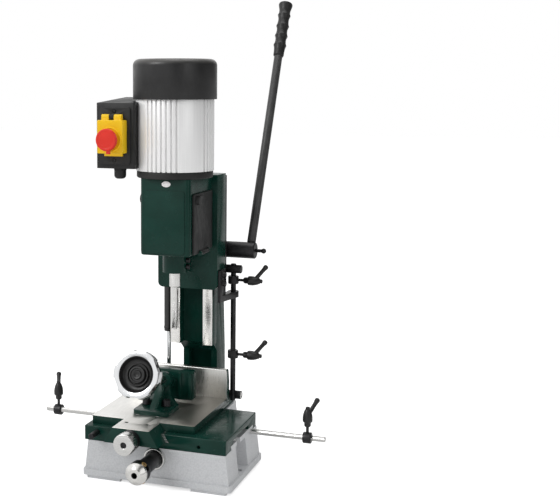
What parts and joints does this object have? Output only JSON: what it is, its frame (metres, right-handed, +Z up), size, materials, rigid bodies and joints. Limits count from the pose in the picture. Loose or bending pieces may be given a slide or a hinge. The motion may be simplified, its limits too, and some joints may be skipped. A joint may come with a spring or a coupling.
{
  "type": "benchtop mortiser",
  "caption": "Benchtop hollow chisel mortiser: cast base and column, sliding motor head with pull-down lever, cross-slide table with fence and screw vise, depth and side stops.",
  "frame": {"origin": "on the bench under the spindle and chisel axis, at the foot pads' underside", "axes": "+Z up along the spindle, -Y towards the operator, +X to the operator's right along the table's long travel"},
  "size_m": [0.52, 0.5594, 0.8164],
  "materials": {
    "cast_silver": "hammered silver enamel",
    "green_casting": "dark green gloss enamel",
    "ground_steel": "ground and brushed",
    "chrome_steel": "polished",
    "black_steel": "black oxide, satin",
    "black_plastic": "fine textured",
    "motor_aluminium": "bright extruded",
    "black_paint": "satin black paint",
    "grip_rubber": "satin",
    "yellow_plastic": "glossy",
    "red_plastic": "glossy",
    "green_plastic": "glossy",
    "bronze": "machined",
    "copper_windings": "lacquered"
  },
  "bodies": {
    "frame": {"base": "cast_silver", "column": "green_casting", "column_screws": "black_steel", "stop_rod": "ground_steel", "depth_rod": "black_steel", "rod_studs": "black_steel", "strut_rod": "ground_steel"},
    "head": {"head": "green_casting", "head_screws": "black_steel", "slide_keepers": "black_steel", "head_rack": "ground_steel", "stop_arm": "black_steel", "strut_tube": "black_paint", "chisel": "ground_steel", "motor_flange": "black_paint", "motor_body": "motor_aluminium", "stator": "copper_windings", "motor_bearings": "ground_steel", "fan_cowl": "black_paint", "switch_box": "black_plastic", "cable_gland": "black_plastic"},
    "spindle": {"rotor": "ground_steel", "fan": "black_plastic", "chuck": "ground_steel", "auger": "ground_steel"},
    "right_door": {"right_door": "black_plastic"},
    "left_door": {"left_door": "black_plastic"},
    "switch_flap": {"switch_flap": "yellow_plastic"},
    "stop_button": {"stop_button": "red_plastic"},
    "start_button": {"start_button": "green_plastic"},
    "lever": {"pinion_shaft": "ground_steel", "lever_hub": "black_steel", "lever_bar": "black_steel", "lever_grip": "grip_rubber"},
    "index_pin": {"index_pin": "black_steel"},
    "upper_collar": {"upper_collar": "black_steel"},
    "upper_clamp_lever": {"upper_clamp_lever": "black_plastic"},
    "lower_collar": {"lower_collar": "black_steel"},
    "lower_clamp_lever": {"lower_clamp_lever": "black_plastic"},
    "left_stop_collar": {"left_stop_collar": "black_steel"},
    "left_stop_lever": {"left_stop_lever": "black_plastic"},
    "right_stop_collar": {"right_stop_collar": "black_steel"},
    "right_stop_lever": {"right_stop_lever": "black_plastic"},
    "saddle": {"saddle": "green_casting", "screw_nut": "bronze", "feed_rack": "ground_steel", "table_gib": "ground_steel"},
    "saddle_lock": {"saddle_lock": "black_steel"},
    "feed": {"feed_shaft": "black_steel", "feed_hub": "chrome_steel"},
    "table": {"table": "ground_steel", "fence": "ground_steel", "cross_bearing": "black_steel", "vise_base": "green_casting", "vise_bolts": "black_steel"},
    "cross": {"cross_screw": "ground_steel"},
    "jaw": {"jaw": "green_casting"},
    "clamp": {"clamp_screw": "ground_steel", "handwheel": "chrome_steel", "wheel_dish": "black_plastic"}
  },
  "joints": [
    {"name": "head_travel", "type": "slide", "parent": "frame", "child": "head", "axis": [0, 0, -1], "range_m": [-0.01, 0.095]},
    {"name": "lever_swing", "type": "hinge", "parent": "frame", "child": "lever", "pos_m": [0.091, 0.139, 0.365], "axis": [1, 0, 0], "range_deg": [-15, 140]},
    {"name": "index_pull", "type": "slide", "parent": "lever", "child": "index_pin", "axis": [1, 0, 0], "range_m": [0, 0.006], "stiffness_N_per_m": 400, "springref_m": -0.004},
    {"name": "spindle_spin", "type": "hinge", "parent": "head", "child": "spindle", "pos_m": [0, 0, 0.42], "axis": [0, 0, 1], "continuous": true},
    {"name": "right_door_swing", "type": "hinge", "parent": "head", "child": "right_door", "pos_m": [0.0478, 0.0115, 0.3785], "axis": [0, 1, 0], "range_deg": [0, 110]},
    {"name": "left_door_swing", "type": "hinge", "parent": "head", "child": "left_door", "pos_m": [-0.0478, 0.0115, 0.3785], "axis": [0, -1, 0], "range_deg": [0, 110]},
    {"name": "flap_swing", "type": "hinge", "parent": "head", "child": "switch_flap", "pos_m": [-0.0825, -0.073, 0.606], "axis": [-1, 0, 0], "range_deg": [0, 100]},
    {"name": "stop_press", "type": "slide", "parent": "switch_flap", "child": "stop_button", "axis": [0, 1, 0], "range_m": [0, 0.004], "stiffness_N_per_m": 500, "springref_m": -0.003},
    {"name": "start_press", "type": "slide", "parent": "head", "child": "start_button", "axis": [0, 1, 0], "range_m": [0, 0.003], "stiffness_N_per_m": 400, "springref_m": -0.003},
    {"name": "upper_collar_slide", "type": "slide", "parent": "frame", "child": "upper_collar", "axis": [0, 0, -1], "range_m": [-0.004, 0.011]},
    {"name": "upper_lever_turn", "type": "hinge", "parent": "upper_collar", "child": "upper_clamp_lever", "pos_m": [0.063, 0.13, 0.312], "axis": [1, 0, 0], "range_deg": [-180, 180]},
    {"name": "lower_collar_slide", "type": "slide", "parent": "frame", "child": "lower_collar", "axis": [0, 0, -1], "range_m": [-0.09, 0.06]},
    {"name": "lower_lever_turn", "type": "hinge", "parent": "lower_collar", "child": "lower_clamp_lever", "pos_m": [0.063, 0.13, 0.177], "axis": [1, 0, 0], "range_deg": [-180, 180]},
    {"name": "left_stop_slide", "type": "slide", "parent": "frame", "child": "left_stop_collar", "axis": [1, 0, 0], "range_m": [-0.014, 0.1]},
    {"name": "left_stop_turn", "type": "hinge", "parent": "left_stop_collar", "child": "left_stop_lever", "pos_m": [-0.245, 0.048, 0.065], "axis": [0, 0, 1], "range_deg": [-180, 180]},
    {"name": "right_stop_slide", "type": "slide", "parent": "frame", "child": "right_stop_collar", "axis": [1, 0, 0], "range_m": [-0.085, 0.022]},
    {"name": "right_stop_turn", "type": "hinge", "parent": "right_stop_collar", "child": "right_stop_lever", "pos_m": [0.221, 0.048, 0.065], "axis": [0, 0, 1], "range_deg": [-180, 180]},
    {"name": "saddle_travel", "type": "slide", "parent": "frame", "child": "saddle", "axis": [1, 0, 0], "range_m": [-0.105, 0.09]},
    {"name": "saddle_lock_turn", "type": "hinge", "parent": "saddle", "child": "saddle_lock", "pos_m": [-0.104, -0.092, 0.08], "axis": [0, 1, 0], "range_deg": [-90, 90]},
    {"name": "feed_turn", "type": "hinge", "parent": "frame", "child": "feed", "pos_m": [0, -0.15, 0.048], "axis": [0, 1, 0], "range_deg": [-505, 433]},
    {"name": "table_travel", "type": "slide", "parent": "saddle", "child": "table", "axis": [0, 1, 0], "range_m": [-0.08, 0]},
    {"name": "cross_turn", "type": "hinge", "parent": "table", "child": "cross", "pos_m": [-0.03, -0.15, 0.085], "axis": [0, 1, 0], "range_deg": [-5770, 5]},
    {"name": "jaw_travel", "type": "slide", "parent": "table", "child": "jaw", "axis": [0, 0.9511, -0.309], "range_m": [-0.008, 0.017]},
    {"name": "clamp_turn", "type": "hinge", "parent": "jaw", "child": "clamp", "pos_m": [-0.028, 0.02, 0.148], "axis": [0, 0.9511, -0.309], "range_deg": [-580, 1230]}
  ],
  "couplings": [
    {"joint": "lever_swing", "follows": "head_travel", "rad_per_m": 25.641},
    {"joint": "feed_turn", "follows": "saddle_travel", "rad_per_m": 83.333},
    {"joint": "cross_turn", "follows": "table_travel", "rad_per_m": 1256.6},
    {"joint": "clamp_turn", "follows": "jaw_travel", "rad_per_m": 1256.6}
  ]
}
